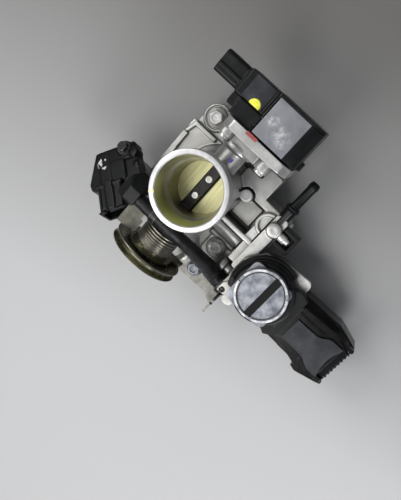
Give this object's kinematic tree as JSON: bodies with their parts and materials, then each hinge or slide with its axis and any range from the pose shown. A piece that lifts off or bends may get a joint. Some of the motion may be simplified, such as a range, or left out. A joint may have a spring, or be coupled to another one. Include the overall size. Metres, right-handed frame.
{
  "type": "throttle body",
  "caption": "Cable-operated throttle body with butterfly plate, cable drum, position and pressure sensors, and a rotary idle air valve on one side.",
  "frame": {"origin": "centre of the 40 mm bore on the engine-side mounting face", "axes": "+Z along the bore towards the air inlet, +X along the throttle shaft towards the position sensor, -Y towards the idle air valve"},
  "size_m": [0.1705, 0.2535, 0.106],
  "materials": {
    "cast_aluminium": "die-cast, matte with fine grain",
    "bright_aluminium": "machined, satin",
    "zinc_steel": "zinc plated",
    "bearing_steel": "ground",
    "spring_steel": "oil-tempered wire",
    "drum_steel": "dark olive zinc plate",
    "black_steel": "black phosphate",
    "plate_brass": "rolled sheet",
    "tinned_brass": "tin plated",
    "copper_wire": "enamelled",
    "magnet_grey": "sintered",
    "black_plastic": "moulded, semi-gloss",
    "grey_plastic": "moulded, worn satin",
    "board_green": "printed track",
    "black_rubber": "moulded rubber"
  },
  "bodies": {
    "housing": {"throttle_body": "cast_aluminium", "throttle_barrel": "cast_aluminium", "drum_side_bearing": "bearing_steel", "sensor_side_bearing": "bearing_steel", "shaft_seals": "black_rubber", "manifold_bolts": "zinc_steel", "manifold_seal": "black_rubber", "port_plug": "bright_aluminium", "spring_anchor": "zinc_steel", "spring_anchor_screw": "zinc_steel", "return_spring": "spring_steel", "tps_housing": "black_plastic", "tps_cover": "grey_plastic", "tps_seal": "black_rubber", "tps_track": "board_green", "tps_screws": "zinc_steel", "tps_terminals": "tinned_brass", "map_sensor_housing": "black_plastic", "map_sensor_lid": "black_plastic", "map_sensor_seal": "black_rubber", "map_sensor_sleeve": "bearing_steel", "map_sensor_screw": "black_steel", "map_sensor_terminals": "tinned_brass", "idle_valve_casting": "cast_aluminium", "idle_casting_gasket": "black_rubber", "idle_casting_screws": "zinc_steel", "idle_motor_body": "black_plastic", "idle_motor_plate": "bright_aluminium", "idle_motor_cap": "bright_aluminium", "idle_cap_band": "black_plastic", "idle_motor_coil": "copper_wire", "idle_spool_bearing": "bearing_steel", "idle_motor_screws": "black_steel", "idle_connector_hood": "black_plastic", "idle_connector_lid": "grey_plastic", "idle_connector_terminals": "tinned_brass", "coolant_nipple": "black_steel", "upper_hose_stub": "zinc_steel", "lower_hose_stub": "zinc_steel", "breather_hose": "black_rubber", "hose_clips": "black_steel", "cable_bracket": "zinc_steel", "cable_bracket_bolt": "zinc_steel", "stop_screw": "zinc_steel", "stop_screw_nut": "zinc_steel", "bypass_screw": "zinc_steel", "bypass_screw_guard": "black_plastic"},
    "throttle": {"throttle_shaft": "black_steel", "throttle_plate": "plate_brass", "plate_screws": "zinc_steel", "cable_drum": "drum_steel", "stop_lever": "drum_steel", "spring_collar": "grey_plastic", "drum_nut": "zinc_steel", "drum_washer": "zinc_steel", "tps_rotor": "grey_plastic"},
    "idle_rotor": {"idle_spool": "plate_brass", "idle_magnet": "magnet_grey"}
  },
  "joints": [
    {"name": "throttle_turn", "type": "hinge", "parent": "housing", "child": "throttle", "pos_m": [0, 0, 0.054], "axis": [-1, 0, 0], "range_deg": [0, 82], "stiffness_Nm_per_rad": 0.1, "springref_deg": -114.59},
    {"name": "idle_valve_turn", "type": "hinge", "parent": "housing", "child": "idle_rotor", "pos_m": [-0.0315, -0.0875, 0], "axis": [0, 0, 1], "range_deg": [0, 60]}
  ]
}
